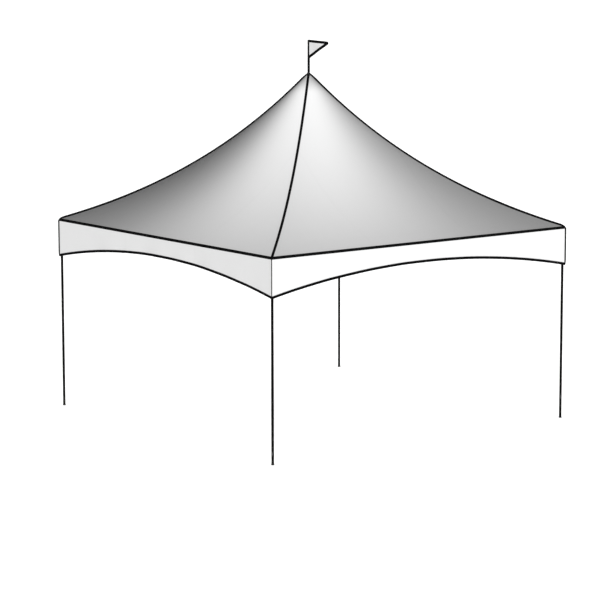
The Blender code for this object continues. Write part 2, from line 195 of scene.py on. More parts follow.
rubber = Finish("foot_rubber", RUBBER, 0.8, specular=0.3)
grit = rubber.noise(260, 3)
dusty = rubber.step(rubber.place(2), DUSTY_BELOW, 0.0) * rubber.step(rubber.noise(60, 4), 0.3, 0.7)
rubber.give("Base Color", rubber.mix(dusty * 0.8, RUBBER, DUST))
rubber.give("Roughness", 0.65 + 0.3 * grit)
rubber.relief(grit, GRIT_DEEP)
dress(rubber, *("foot_" + corner for corner in CORNERS))

# Legs: steel tubes 1 1/4 in across, powder coated in matt black with a fine orange peel. The coat is
# scratched and dusty near the foot, where the tubes are knocked and dragged.
COAT = (0.0028, 0.0028, 0.003)
FADED_COAT = (0.0045, 0.0045, 0.005)
BARE_STEEL = (0.3, 0.3, 0.31)
PEEL_DEEP = 0.0003
SCUFFED_BELOW = 0.5
SCUFFED_MOST = 0.02


def powder_coat(name, scuffed_below=None):
    """Matt black powder coat, with scratches and dust below some height."""
    coat = Finish(name, COAT, 0.65, specular=0.03)
    cloudy = coat.noise(5, 4)
    dull = 0.58 + 0.16 * cloudy
    if scuffed_below:
        low = coat.step(coat.place(2), scuffed_below, SCUFFED_MOST)
        scratches = coat.step(coat.noise(110, 3, stretch=(1, 1, 0.1)), 0.63, 0.66) * low
        haze = coat.step(coat.noise(14, 5), 0.45, 0.8) * low
        dull = dull + 0.2 * haze
        tone = coat.mix(scratches * 0.6, coat.mix(haze * 0.12, COAT, DUST), BARE_STEEL)
    else:
        tone = coat.mix(cloudy, COAT, FADED_COAT)
    coat.give("Base Color", tone)
    coat.give("Roughness", dull)
    coat.relief(coat.noise(420, 1), PEEL_DEEP)
    return coat


leg_coat = powder_coat("leg_coat", SCUFFED_BELOW)
dress(leg_coat, *("leg_" + corner for corner in CORNERS))

# Screws: each leg is held on its corner block's spigot by two hexagon screws with washers, on the sides
# that face the neighbouring legs. They are bright zinc plated.
LEG_AXIS = (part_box("leg_front_right")[0].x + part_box("leg_front_right")[1].x) / 2
LEG_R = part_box("leg_front_right")[1].x - LEG_AXIS
BEAM_LOW_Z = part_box("eave_beam_front")[0].z
TUBE_SCREW = 0.013
LEG_SCREW_DROP = 0.045
WASHER_THICK = 0.0016
WASHER_BED = 0.0002
SHARP_FROM = 38
PLATE = (0.6, 0.6, 0.62)
BRIGHT_PLATE = (0.66, 0.66, 0.68)
DULL_PLATE = (0.4, 0.4, 0.42)
METAL_GRAIN = 0.0001

plated = Finish("zinc_plate", PLATE, 0.3, 1.0)
tarnish = plated.noise(90, 4)
plated.give("Base Color", plated.mix(tarnish, BRIGHT_PLATE, DULL_PLATE))
plated.give("Roughness", 0.22 + 0.25 * tarnish)
plated.relief(plated.noise(700, 1), METAL_GRAIN)


def facing(at, way):
    """The matrix of a frame at a point, with its Z axis along a direction."""
    return Matrix.Translation(at) @ Vector(way).to_track_quat("Z", "Y").to_matrix().to_4x4()


def soften(work, edges, rounding, segments):
    bmesh.ops.bevel(
        work, geom=edges, affect="EDGES", offset=rounding, segments=segments, profile=0.5, material=-1
    )


def disc(work, at, way, radius, thick, sides, softened):
    """Adds a round or many-sided disc that stands on a point and rises one way, with its rims softened."""
    matrix = facing(at, way) @ Matrix.Translation((0, 0, thick / 2))
    made = bmesh.ops.create_cone(
        work, cap_ends=True, segments=sides, radius1=radius, radius2=radius, depth=thick, matrix=matrix
    )
    faces = {face for vertex in made["verts"] for face in vertex.link_faces if len(face.verts) == sides}
    rims = {edge for face in faces for edge in face.edges}
    soften(work, list(rims), softened, 2)


def screw(work, at, way, across):
    """Adds a hexagon screw head, some width across its flats, on its washer."""
    way = Vector(way).normalized()
    washer_r = across * 0.95
    head_r = across / math.sqrt(3)
    head_thick = across * 0.38
    disc(work, at, way, washer_r, WASHER_THICK, sides=28, softened=0.0004)
    disc(work, Vector(at) + way * WASHER_THICK, way, head_r, head_thick, sides=6, softened=0.0007)


def on_tent(name, work, finish, turn=0, body="tent"):
    """Makes a bmesh a piece of the tent, turned about the tent's axis to its side or corner."""
    mesh = bpy.data.meshes.new(name)
    work.to_mesh(mesh)
    mesh.transform(Matrix.Rotation(math.radians(turn), 4, "Z"))
    mesh.materials.append(finish.material)
    mesh.shade_smooth()
    mesh.set_sharp_from_angle(angle=math.radians(SHARP_FROM))
    thing = bpy.data.objects.new(name, mesh)
    bpy.context.scene.collection.objects.link(thing)
    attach(thing, body)
    return thing


def on_each(spots, name, work, finish):
    """Makes a bmesh four pieces, one for each side or corner of the tent."""
    return {spot: on_tent(name + "_" + spot, work, finish, turn) for spot, turn in spots.items()}


leg_screws = bmesh.new()
screw_out = -LEG_AXIS + LEG_R - WASHER_BED
leg_screw_z = BEAM_LOW_Z - LEG_SCREW_DROP
screw(leg_screws, (screw_out, -LEG_AXIS, leg_screw_z), (1, 0, 0), TUBE_SCREW)
screw(leg_screws, (-LEG_AXIS, screw_out, leg_screw_z), (0, 1, 0), TUBE_SCREW)
on_each(CORNERS, "leg_screws", leg_screws, plated)

# Eave frame: aluminium box beams pushed onto the spigots of steel corner blocks, all powder coated like
# the legs. Two screws hold each beam's end, on its inner face.
BEAM_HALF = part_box("eave_beam_front")[1].x
BEAM_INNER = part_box("eave_beam_front")[1].y
BEAM_MID_Z = (BEAM_LOW_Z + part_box("eave_beam_front")[1].z) / 2
BEAM_SCREW = 0.017
BEAM_SCREW_INSETS = (0.032, 0.088)

frame_coat = powder_coat("frame_coat")
dress(frame_coat, *("eave_beam_" + side for side in SIDES))
dress(frame_coat, *("corner_block_" + corner for corner in CORNERS))

beam_screws = bmesh.new()
for end in (-1, 1):
    for inset in BEAM_SCREW_INSETS:
        screw(beam_screws, (end * (BEAM_HALF - inset), BEAM_INNER, BEAM_MID_Z), (0, 1, 0), BEAM_SCREW)
on_each(SIDES, "beam_screws", beam_screws, plated)

# Cables: galvanised wire rope 8 mm across, laid from six strands, with swaged ends. Turnbuckles with lock
# nuts tighten them between the corner blocks and the mast foot, on pins with washers and split pins.
INWARD = Vector((1, 1, 0)).normalized()
BEAM_PLAY = 0.0003
BLOCK_INSIDE = BEAM_HALF + BEAM_PLAY
LUG_INSET = 0.031
CABLE_FROM = -INWARD * (BLOCK_INSIDE * math.sqrt(2) - LUG_INSET) + Vector((0, 0, BEAM_MID_Z))
MAST_LUG_OUT = 0.085
MAST_LUG_Z = 2.170
CABLE_TO = -INWARD * MAST_LUG_OUT + Vector((0, 0, MAST_LUG_Z))
ROPE_START = 0.294
ROPE_END = 0.099
ROPE_R = 0.00405
STRANDS = 6
STRAND_STEPS = 5
STRAND_PROUD = 0.0005
ROPE_LAY = 0.062
STEPS_PER_LAY = 10
MERGE = 0.00001
BARREL = (0.060, 0.200)
NUT_R = 0.0098
NUT_THICK = 0.006
NUT_GAP = 0.0005
CHEEK_OUTSIDE = 0.0094
PIN_WASHER_R = 0.0095
PIN_WASHER_THICK = 0.0012
SPLIT_PIN_OUT = 0.0118
SPLIT_PIN_R = 0.0011
SPLIT_PIN_LONG = 0.021
ZINC = (0.5, 0.51, 0.52)
DARK_SPANGLE = (0.4, 0.41, 0.43)
PALE_SPANGLE = (0.6, 0.61, 0.62)
SPANGLES_PER_M = 160

zinc = Finish("galvanised_steel", ZINC, 0.4, 1.0)
cell = zinc.node("TexVoronoi", {}, {"Vector": zinc.own_space(), "Scale": SPANGLES_PER_M}, "Color")
spangle = zinc.node("SeparateXYZ", {}, {0: cell})
zinc.give("Base Color", zinc.mix(spangle, DARK_SPANGLE, PALE_SPANGLE))
zinc.give("Roughness", 0.32 + 0.2 * spangle)
zinc.relief(zinc.noise(300, 2), METAL_GRAIN)
dress(zinc, *("turnbuckle_" + corner for corner in CORNERS))
dress(zinc, *("cable_" + corner for corner in CORNERS))


def sheet(columns, rows, place, **maps):
    """A grid laid out by place(across, along), where both run from 0 to 1, with maps laid out the same
    way."""
    work = bmesh.new()
    bmesh.ops.create_grid(work, x_segments=columns, y_segments=rows, size=0.5)
    layers = {work.loops.layers.uv.new(name): measure for name, measure in maps.items()}
    for face in work.faces:
        for loop in face.loops:
            for layer, measure in layers.items():
                loop[layer].uv = measure(loop.vert.co.x + 0.5, loop.vert.co.y + 0.5)
    for vertex in work.verts:
        vertex.co = place(vertex.co.x + 0.5, vertex.co.y + 0.5)
    return work


def thicken(work, thickness):
    """Gives a sheet its thickness, behind its face."""
    work.normal_update()
    back = bmesh.ops.extrude_face_region(work, geom=work.faces[:], use_keep_orig=True)
    for item in back["geom"]:
        if isinstance(item, bmesh.types.BMVert):
            item.co -= item.normal * thickness
    bmesh.ops.recalc_face_normals(work, faces=work.faces[:])


def close_tube(work):
    """Joins a sheet that is rolled into a tube along its seam, and caps its ends."""
    bmesh.ops.remove_doubles(work, verts=work.verts[:], dist=MERGE)
    bmesh.ops.holes_fill(work, edges=[edge for edge in work.edges if edge.is_boundary])
    bmesh.ops.recalc_face_normals(work, faces=work.faces[:])


cable_way = (CABLE_TO - CABLE_FROM).normalized()
cable_long = (CABLE_TO - CABLE_FROM).length
cable_side = Vector((0, 0, 1)).cross(cable_way).normalized()
cable_up = cable_way.cross(cable_side)
rope_long = cable_long - ROPE_START - ROPE_END


def rope_place(across, along):
    """Across runs round the rope and along runs down it, with a groove between its twisted strands."""
    angle = math.tau * across
    lobe = abs(math.cos(STRANDS / 2 * (angle - math.tau * along * rope_long / ROPE_LAY)))
    radius = ROPE_R + STRAND_PROUD * math.sqrt(lobe)
    spoke = cable_side * math.cos(angle) + cable_up * math.sin(angle)
    return CABLE_FROM + cable_way * (ROPE_START + rope_long * along) + spoke * radius


rope = sheet(STRANDS * STRAND_STEPS, round(rope_long / ROPE_LAY * STEPS_PER_LAY), rope_place)
close_tube(rope)

fittings = bmesh.new()
for along in (BARREL[0] - NUT_THICK - NUT_GAP, BARREL[1] + NUT_GAP):
    disc(fittings, CABLE_FROM + cable_way * along, cable_way, NUT_R, NUT_THICK, sides=6, softened=0.0006)
for pin_at in (CABLE_FROM, CABLE_TO):
    for out in (-cable_side, cable_side):
        washer_at = pin_at + out * CHEEK_OUTSIDE
        disc(fittings, washer_at, out, PIN_WASHER_R, PIN_WASHER_THICK, sides=24, softened=0.0003)
        split_pin_at = pin_at + out * SPLIT_PIN_OUT - cable_up * (SPLIT_PIN_LONG / 2)
        disc(fittings, split_pin_at, cable_up, SPLIT_PIN_R, SPLIT_PIN_LONG, sides=10, softened=0.0004)
for corner, turn in CORNERS.items():
    on_tent("wire_rope_" + corner, rope, zinc, turn)
    on_tent("cable_fittings_" + corner, fittings, plated, turn)

# Mast: a coated steel tube on a hub that hangs where the cables cross, with a turned head that carries the
# canopy's peak. Screws through the tube hold it on the hub's and the head's spigots.
MAST_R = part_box("mast")[1].x
MAST_LOW_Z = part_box("mast")[0].z
MAST_TOP_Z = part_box("mast")[1].z
MAST_SCREW_UP = 0.045
MAST_SCREW_DOWN = 0.035

dress(frame_coat, "mast_foot", "mast", "mast_head")
mast_screws = bmesh.new()
for screw_z in (MAST_LOW_Z + MAST_SCREW_UP, MAST_TOP_Z - MAST_SCREW_DOWN):
    for end in (-1, 1):
        screw(mast_screws, (end * (MAST_R - WASHER_BED), 0, screw_z), (end, 0, 0), TUBE_SCREW)
on_tent("mast_screws", mast_screws, plated)

# Canopy: four panels of white PVC-coated polyester, cut to a curve and welded from strips 1.5 m wide. They
# are stretched from the mast head to the eaves, so they are round in plan at the peak and square at the
# eave.
ROOF_SOLID = 0.004
SKIN_HALF = -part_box("valance_front")[0].y
HIP_REACH = SKIN_HALF * math.sqrt(2)
EAVE_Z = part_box("roof_panel_front")[0].z + ROOF_SOLID
PEAK_RISE = 1.900
PEAK_Z = EAVE_Z + PEAK_RISE
HIP_SAG = 1.27
PEAK_ROUNDNESS = 0.5
SQUARING = 4.5
LEAST_ROUNDNESS = 0.0001
ROOF_TOP_R = 0.024
PANEL_CLOTH = 0.0012
PANEL_COLUMNS = 96
PANEL_ROWS = 84
PANEL_CROWDING = 1.15
CLOTH_UP_PANEL = 0.9
CLOTH_TO_EAVE = 0.8
STRIP = 1.5
WELD = 0.04
HEM = 0.05
LAYER_EDGE = 0.002
STITCH = 0.007
STITCH_INSET = 0.006
THREAD = 0.0006
YARN = 0.0022
CLOTH_RELIEF = 0.001
WHITE = 0.86
# The painted shade under the peak cap: where it starts, where it is full, and how much it darkens.
PEAK_SHADE_DOWN = 0.25
PEAK_SHADE_FULL = 0.03
PEAK_SHADE_SHARE = 0.5
FACE_SHARE = 0.5
RIM_SHARE = 0.5


def hip_height(r):
    """Height of a hip line at a distance r from the tent's axis."""
    flat = math.exp(-HIP_SAG)
    return EAVE_Z + PEAK_RISE * (math.exp(-HIP_SAG * r / HIP_REACH) - flat) / (1 - flat)


def roof_point(r, t):
    """A point of the front roof face at the level where the hips are r from the axis, with t from -1 at the
    left hip to 1 at the right one."""
    roundness = PEAK_ROUNDNESS * max(0.0, 1 - r / HIP_REACH) ** SQUARING
    swell = 1.0
    if roundness > LEAST_ROUNDNESS:
        swell = (2 / (1 + abs(t) ** (1 / roundness))) ** roundness
    out = r / math.sqrt(2) * swell
    return Vector((out * t, -out, hip_height(r)))


def panel_reach(along):
    """Hip distance at a share of the way from eave to peak, in steps that shorten towards the peak."""
    return ROOF_TOP_R + (HIP_REACH - ROOF_TOP_R) * (1 - along) ** PANEL_CROWDING


def panel_place(across, along):
    return roof_point(panel_reach(along), math.sin(math.pi / 2 * (2 * across - 1)))


def panel_cloth(across, along):
    """Across and up the slope, in metres of cloth."""
    return panel_place(across, along).x, (HIP_REACH - panel_reach(along)) * CLOTH_UP_PANEL


def panel_edges(across, along):
    """How far a point is from the nearer hip and from the eave."""
    point = panel_place(across, along)
    from_hip = (abs(point.y) - abs(point.x)) / math.sqrt(2)
    return from_hip, (HIP_REACH - panel_reach(along)) * CLOTH_TO_EAVE


def coated_cloth(name, welded):
    """White PVC-coated polyester: a plain weave under the coating, faint clouds, a stitched hem along its
    edges, the welds between its strips, and a painted shade, a little streaked, that darkens the cloth
    towards the peak cap."""
    pvc = Finish(name, (WHITE, WHITE, WHITE), 0.45, specular=0.35)
    across, along = pvc.over(0), pvc.over(1)
    warp = (across * (math.tau / YARN)).sine()
    weft = (along * (math.tau / YARN)).sine()
    to_edge = pvc.node("Math", {"operation": "MINIMUM"}, {0: pvc.over(0, "edges"), 1: pvc.over(1, "edges")})
    hem = pvc.step(to_edge, HEM, HEM - LAYER_EDGE)
    stitch_line = pvc.step(abs(to_edge - (HEM - STITCH_INSET)), 2 * THREAD, THREAD)
    stitches = stitch_line * pvc.step(((across + along) * (math.tau / STITCH)).sine(), -0.4, 0.0)
    clouds = pvc.noise(1.3, 5, stretch=(1, 0.5, 1), on_cloth=True)
    streaks = pvc.noise(9, 4, stretch=(1, 0.12, 1), on_cloth=True)
    # Painted shade: the cloth darkens over its last quarter metre below the peak, with a little streaking.
    peak_shade_mask = pvc.step(pvc.place(2), PEAK_Z - PEAK_SHADE_DOWN, PEAK_Z - PEAK_SHADE_FULL)
    peak_shade = peak_shade_mask * (0.85 + 0.3 * streaks)
    clean = WHITE - 0.012 * clouds - 0.012 * streaks - 0.006 * hem - 0.03 * stitches
    tone = clean * (1 - PEAK_SHADE_SHARE * peak_shade)
    height = 0.5 + 0.04 * warp * weft + 0.2 * hem - 0.15 * stitches
    if welded:
        strip_edge = pvc.node("Math", {"operation": "PINGPONG"}, {0: across + STRIP / 2, 1: STRIP / 2})
        weld = pvc.step(abs(strip_edge), (WELD + LAYER_EDGE) / 2, (WELD - LAYER_EDGE) / 2)
        tone = tone - 0.008 * weld
        height = height + 0.2 * weld
    pvc.give("Base Color", pvc.grey(tone))
    pvc.give("Roughness", 0.4 + 0.16 * clouds)
    pvc.relief(height, CLOTH_RELIEF)
    return pvc


def smooth_round(mesh):
    """Shades the canopy as one tight sheet that is round in plan, with a share of the steeper slope that
    each side has in its middle. The light then falls off evenly round the tent, and the webbing alone marks
    the hips. The sheet's rims keep their own normals."""
    eave_fall = PEAK_RISE / (math.exp(HIP_SAG) - 1)
    normals = []
    for face in mesh.polygons:
        for index in face.vertices:
            point = mesh.vertices[index].co
            outward = Vector((point.x, point.y, 0))
            fall = eave_fall + point.z - EAVE_Z
            reach = HIP_REACH * (1 - math.log(fall / eave_fall) / HIP_SAG)
            steeper = (reach / outward.length) ** FACE_SHARE
            slope = HIP_SAG / HIP_REACH * fall * steeper
            normal = (outward.normalized() * slope + Vector((0, 0, 1))).normalized()
            share = face.normal.dot(normal)
            if abs(share) < RIM_SHARE:
                normal = face.normal
            elif share < 0:
                normal = -normal
            normals.append(normal)
    mesh.normals_split_custom_set(normals)


roof_pvc = coated_cloth("roof_pvc", True)
panel_work = sheet(PANEL_COLUMNS, PANEL_ROWS, panel_place, cloth=panel_cloth, edges=panel_edges)
thicken(panel_work, PANEL_CLOTH)
canopy = on_each(SIDES, "canopy", panel_work, roof_pvc)
for side in SIDES:
    smooth_round(canopy[side].data)
    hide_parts("roof_panel_" + side)

# Hip seams: under each hip a strip of the same cloth, 100 mm wide, is welded across the seam between two
# panels, and is seen from inside.
ASIDE = Vector((1, -1, 0)).normalized()
HALVINGS = 30
LAYER_GAP = 0.0004
SEAM_STRIP_HALF = 0.05
SEAM_STRIP_TOP = 0.09
SEAM_STRIP_LOW = HIP_REACH - 0.06
SEAM_STRIP_DROP = PANEL_CLOTH * 1.5 + LAYER_GAP
SEAM_STRIP_COLUMNS = 10
SEAM_STRIP_ROWS = 80
CLOTH_UP_HIP = 1.16


def beside_hip(r, distance):
    """The point of the roof at some distance square to the front left hip, to its right or, if negative,
    its left."""
    hip = roof_point(r, -1)
    low, high = 0.0, 1.0
    for _ in range(HALVINGS):
        middle = (low + high) / 2
        if (roof_point(r, -middle) - hip).dot(ASIDE) > abs(distance):
            low = middle
        else:
            high = middle
    point = roof_point(r, -low)
    return Vector((point.y, point.x, point.z)) if distance < 0 else point


def strip_reach(along):
    return SEAM_STRIP_TOP + (SEAM_STRIP_LOW - SEAM_STRIP_TOP) * (1 - along)


def strip_place(across, along):
    point = beside_hip(strip_reach(along), (2 * across - 1) * SEAM_STRIP_HALF)
    return point - Vector((0, 0, SEAM_STRIP_DROP))


def strip_cloth(across, along):
    return (2 * across - 1) * SEAM_STRIP_HALF, (HIP_REACH - strip_reach(along)) * CLOTH_UP_HIP


def strip_edges(across, along):
    """Its whole width is within a hem, with a row of stitches near each edge."""
    return SEAM_STRIP_HALF * (1 - abs(2 * across - 1)) + HEM - 2 * STITCH_INSET, 1


strip_work = sheet(SEAM_STRIP_COLUMNS, SEAM_STRIP_ROWS, strip_place, cloth=strip_cloth, edges=strip_edges)
thicken(strip_work, PANEL_CLOTH / 2)
strip_pvc = coated_cloth("seam_strip_pvc", False)
seam_strips = on_each(CORNERS, "seam_strip", strip_work, strip_pvc)

# Webbing over the hips: black polyester webbing 32 mm wide, folded over a welt cord and sewn down along
# both edges, so that each hip shows as one raised black line.
TAPE = 0.0016
TAPE_LIFT = TAPE + LAYER_GAP
HIP_TAPE_HALF = 0.016
HIP_COLUMNS = 30
HIP_ROWS = 120
HIP_CROWDING = 1.1
WELT_R = 0.0104
WELT_SHARE = 0.6
WELT_WRAP = math.radians(140)
WELT_LEAST = 0.1
WELT_FADE = 0.07
CAP_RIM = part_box("peak_cap")[1].x + LAYER_GAP
TURN_UP = 0.06
SLOPE_RUN = 0.01
RIB = 0.0026
LOCK_STITCH = 0.0055
LOCK_STITCH_INSET = 0.0035
LOCK_THREAD = (0.0009, 0.0005)
TAPE_RELIEF = 0.0006
BLACK_YARN = (0.0035, 0.0035, 0.0038)
WORN_YARN = (0.008, 0.008, 0.008)


def webbing(name, half_width):
    """Black webbing with a herringbone weave and a row of lock stitches near each edge."""
    tape = Finish(name, BLACK_YARN, 0.85, specular=0.06)
    across, along = abs(tape.over(0)), tape.over(1)
    ribs = ((across + along) * (math.tau / RIB)).sine()
    stitch_line = tape.step(abs(across - (half_width - LOCK_STITCH_INSET)), *LOCK_THREAD)
    stitches = stitch_line * tape.step((along * (math.tau / LOCK_STITCH)).sine(), -0.4, 0.1)
    worn = tape.step(tape.noise(35, 5, on_cloth=True), 0.5, 0.85)
    tape.give("Base Color", tape.mix(0.8 * worn + 0.2 * stitches, BLACK_YARN, WORN_YARN))
    tape.give("Roughness", 0.9 - 0.25 * stitches)
    tape.relief(0.4 + 0.2 * ribs + 0.4 * stitches, TAPE_RELIEF)
    return tape


def hip_reach(along):
    """Hip distance at a share of the way from eave to cap, in steps that shorten towards the cap."""
    return CAP_RIM + (HIP_REACH - CAP_RIM) * (1 - along) ** HIP_CROWDING


def hip_place(across, along):
    """Flat wings at the edges and most of a round over the welt cord, which sinks away at the eave and ends
    upright against the peak cap."""
    reach = hip_reach(along)
    share = 2 * across - 1
    fade = math.sin(math.pi / 2 * min(1.0, WELT_LEAST + (HIP_REACH - reach) / WELT_FADE))
    foot = WELT_R * math.sin(WELT_WRAP)
    if abs(share) > WELT_SHARE:
        wing = (abs(share) - WELT_SHARE) / (1 - WELT_SHARE)
        distance = math.copysign(foot + (HIP_TAPE_HALF - foot) * wing, share)
        lift = 0.0
    else:
        angle = share / WELT_SHARE * WELT_WRAP
        distance = WELT_R * math.sin(angle)
        lift = WELT_R * (math.cos(angle) - math.cos(WELT_WRAP)) * fade
    slope = (hip_height(reach) - hip_height(reach + SLOPE_RUN)) / SLOPE_RUN
    lean = min(1.0, (reach - CAP_RIM) / TURN_UP)
    away = (Vector((0, 0, 1)) - INWARD * slope * lean).normalized()
    return beside_hip(reach, distance) + away * (TAPE_LIFT + lift)


def hip_cloth(across, along):
    return (2 * across - 1) * HIP_TAPE_HALF, (HIP_REACH - hip_reach(along)) * CLOTH_UP_HIP


hip_webbing = webbing("hip_webbing", HIP_TAPE_HALF)
hip_work = sheet(HIP_COLUMNS, HIP_ROWS, hip_place, cloth=hip_cloth)
thicken(hip_work, TAPE)
hip_tapes = on_each(CORNERS, "hip_tape", hip_work, hip_webbing)
for corner in CORNERS:
    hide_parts("hip_webbing_" + corner)

# Tape along the eaves: black webbing folded over the edge where a roof panel meets its valance, and sewn
# through both.
EAVE_TAPE_UP = 0.012
EAVE_TAPE_DOWN = 0.028
EAVE_TAPE = EAVE_TAPE_UP + EAVE_TAPE_DOWN
EAVE_COLUMNS = 80
EAVE_ROWS = 20


def eave_place(across, along):
    """Across runs along the eave, and along runs up the valance, over the edge and onto the roof."""
    height = along * EAVE_TAPE - EAVE_TAPE_DOWN
    if height <= 0:
        half = SKIN_HALF + TAPE_LIFT
        return Vector((half * (2 * across - 1), -half, EAVE_Z + height + TAPE_LIFT))
    return roof_point(HIP_REACH - height * math.sqrt(2), 2 * across - 1) + Vector((0, 0, TAPE_LIFT))


def eave_cloth(across, along):
    return (along - 0.5) * EAVE_TAPE, across * 2 * SKIN_HALF


eave_webbing = webbing("eave_webbing", EAVE_TAPE / 2)
eave_work = sheet(EAVE_COLUMNS, EAVE_ROWS, eave_place, cloth=eave_cloth)
thicken(eave_work, TAPE)
eave_tapes = on_each(SIDES, "eave_tape", eave_work, eave_webbing)

# Valances: white PVC like the canopy, deepest at the corners, with an arched lower edge. They hang from
# the eaves and are pulled nearly flat between the corners.
ARCH_RISE = 0.233
VALANCE_LOW_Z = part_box("valance_front")[0].z
VALANCE_TOP_Z = EAVE_Z - 0.0043
VALANCE_END = 0.0015
VALANCE_COLUMNS = 140
VALANCE_ROWS = 18
RIPPLE = 0.004
RIPPLE_GROWTH = 1.5
WAVES = ((1.0, 5.1, 0.7), (0.6, 11.3, 2.0))


def arch_height(x):
    """Height of a valance's lower edge at a distance x from the middle of its side."""
    radius = (SKIN_HALF**2 + ARCH_RISE**2) / (2 * ARCH_RISE)
    return VALANCE_LOW_Z + ARCH_RISE - radius + math.sqrt(radius**2 - x**2)


def valance_point(x, up):
    """A point of the front valance's outer face, some way up from its lower edge. It waves a little where
    it hangs free, and not at its top edge or its corners."""
    low = arch_height(x)
    hang = max(0.0, 1 - up / (VALANCE_TOP_Z - low))
    wave = sum(size * math.sin(rate * x + start) for size, rate, start in WAVES)
    out = RIPPLE * (1 - (x / SKIN_HALF) ** 2) * hang**RIPPLE_GROWTH * wave
    return Vector((x, -SKIN_HALF - out, low + up))


def along_side(across):
    return (SKIN_HALF - VALANCE_END) * (2 * across - 1)


def valance_place(across, along):
    x = along_side(across)
    return valance_point(x, along * (VALANCE_TOP_Z - arch_height(x)))


def valance_cloth(across, along):
    point = valance_place(across, along)
    return point.x, point.z - EAVE_Z


def valance_edges(across, along):
    """How far a point is from the nearer corner and above the lower edge."""
    x = along_side(across)
    return SKIN_HALF - abs(x), along * (VALANCE_TOP_Z - arch_height(x))


valance_pvc = coated_cloth("valance_pvc", True)
valance_work = sheet(VALANCE_COLUMNS, VALANCE_ROWS, valance_place, cloth=valance_cloth, edges=valance_edges)
thicken(valance_work, PANEL_CLOTH)
valances = on_each(SIDES, "valance_cloth", valance_work, valance_pvc)
for side in SIDES:
    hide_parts("valance_" + side)

# Binding along the arches: a black tape folded over each valance's lower edge and sewn through both sides.
# The fold is drawn as points: which side of the cloth, and how far up it as a share of the tape's width.
BINDING = 0.032
BINDING_GAP = 0.0003
FOLD = (
    (-1, 1.0), (-1, 0.66), (-1, 0.33), (-1, 0.04), (-0.6, -0.03), (0, -0.05),
    (0.6, -0.03), (1, 0.04), (1, 0.33), (1, 0.66), (1, 1.0),
)


def folded_tape(columns, edge_point, normal, width, length, gap):
    """A tape folded over the edge of a cloth. edge_point(along, up) is a point of the cloth's middle, up
    from that edge, and the normal points out of the side that the fold ends on."""

    def place(along, around):
        side, up = FOLD[round(around * (len(FOLD) - 1))]
        return edge_point(along, up * width) + normal * side * gap

    def measure(along, around):
        return (around - 0.5) * 2 * width, along * length

    work = sheet(columns, len(FOLD) - 1, place, cloth=measure)
    thicken(work, TAPE)
    return work


def arch_edge(along, up):
    return valance_point(along_side(along), up) + Vector((0, PANEL_CLOTH / 2, 0))


arch_webbing = webbing("arch_webbing", BINDING)
arch_gap = PANEL_CLOTH / 2 + TAPE + BINDING_GAP
arch_out = Vector((0, -1, 0))
binding_work = folded_tape(VALANCE_COLUMNS, arch_edge, arch_out, BINDING, 2 * SKIN_HALF, arch_gap)
bindings = on_each(SIDES, "arch_binding", binding_work, arch_webbing)

# Corner seams: the ends of two valances are sewn together at each corner and bound with a black tape that
# stands out from it. It is rounded off at its top, over the ends of the eave tapes, and tapers to its foot,
# over the ends of the bindings.
SEAM_OUT = 0.016
SEAM_IN = 0.006
SEAM_HALF = 0.0046
SEAM_LOW_Z = VALANCE_LOW_Z - 0.002
SEAM_HIGH_Z = EAVE_Z - 0.005
SEAM_ROUNDING = 0.022
SEAM_TAPER = 0.080
SEAM_COLUMNS = 20
SEAM_ROWS = 36
SEAM_TAPE_HALF = 0.0135
SEAM_ROUND = 2 * (SEAM_OUT + SEAM_IN) + (math.tau - 4) * SEAM_HALF


def seam_place(across, along):
    """The outline is a flat round in plan, with its middle line across the corner. Across runs round it
    and along runs up, with more rows towards both ends."""
    angle = math.tau * across - math.pi
    share = (1 - math.cos(math.pi * along)) / 2
    level = SEAM_LOW_Z + (SEAM_HIGH_Z - SEAM_LOW_Z) * share
    from_end = min(1.0, (level - SEAM_LOW_Z) / SEAM_TAPER, (SEAM_HIGH_Z - level) / SEAM_ROUNDING)
    least = 2 * SEAM_HALF - SEAM_IN
    deep = least + (SEAM_OUT - least) * math.sqrt(1 - (1 - from_end) ** 2)
    straight = (deep + SEAM_IN) / 2 - SEAM_HALF
    out = (deep - SEAM_IN) / 2 + math.copysign(straight, math.cos(angle)) + SEAM_HALF * math.cos(angle)
    aside = SEAM_HALF * math.sin(angle)
    return Vector((-SKIN_HALF, -SKIN_HALF, level)) - INWARD * out + ASIDE * aside


def seam_cloth(across, along):
    return (across - 0.5) * SEAM_ROUND, along * (SEAM_HIGH_Z - SEAM_LOW_Z)


seam_work = sheet(SEAM_COLUMNS, SEAM_ROWS, seam_place, cloth=seam_cloth)
close_tube(seam_work)
seam_webbing = webbing("corner_webbing", SEAM_TAPE_HALF)
corner_seams = on_each(CORNERS, "corner_seam", seam_work, seam_webbing)

# Corner straps: inside each corner a webbing strap goes round the leg through a plastic buckle, and keeps
# the valances from lifting.
STRAP_WIDE = 0.025
STRAP_GAP = 0.0006
STRAP_Z = VALANCE_LOW_Z + 0.07
STRAP_COLUMNS = 4
STRAP_ROWS = 48
BUCKLE = Vector((0.034, 0.007, 0.034))
BUCKLE_ROUNDING = 0.002
MOULDED = (0.008, 0.008, 0.0085)
DARK_MOULDED = (0.007, 0.007, 0.0075)
WORN_MOULDED = (0.012, 0.012, 0.012)
MOULD_GRAIN = 0.0003


def strap_place(across, along):
    angle = -math.tau * along
    spoke = Vector((math.cos(angle), math.sin(angle), 0)) * (LEG_R + STRAP_GAP + TAPE)
    return Vector((-LEG_AXIS, -LEG_AXIS, STRAP_Z + (across - 0.5) * STRAP_WIDE)) + spoke


def strap_cloth(across, along):
    return (across - 0.5) * STRAP_WIDE, along * math.tau * LEG_R


strap_work = sheet(STRAP_COLUMNS, STRAP_ROWS, strap_place, cloth=strap_cloth)
thicken(strap_work, TAPE)
strap_webbing = webbing("strap_webbing", STRAP_WIDE / 2)

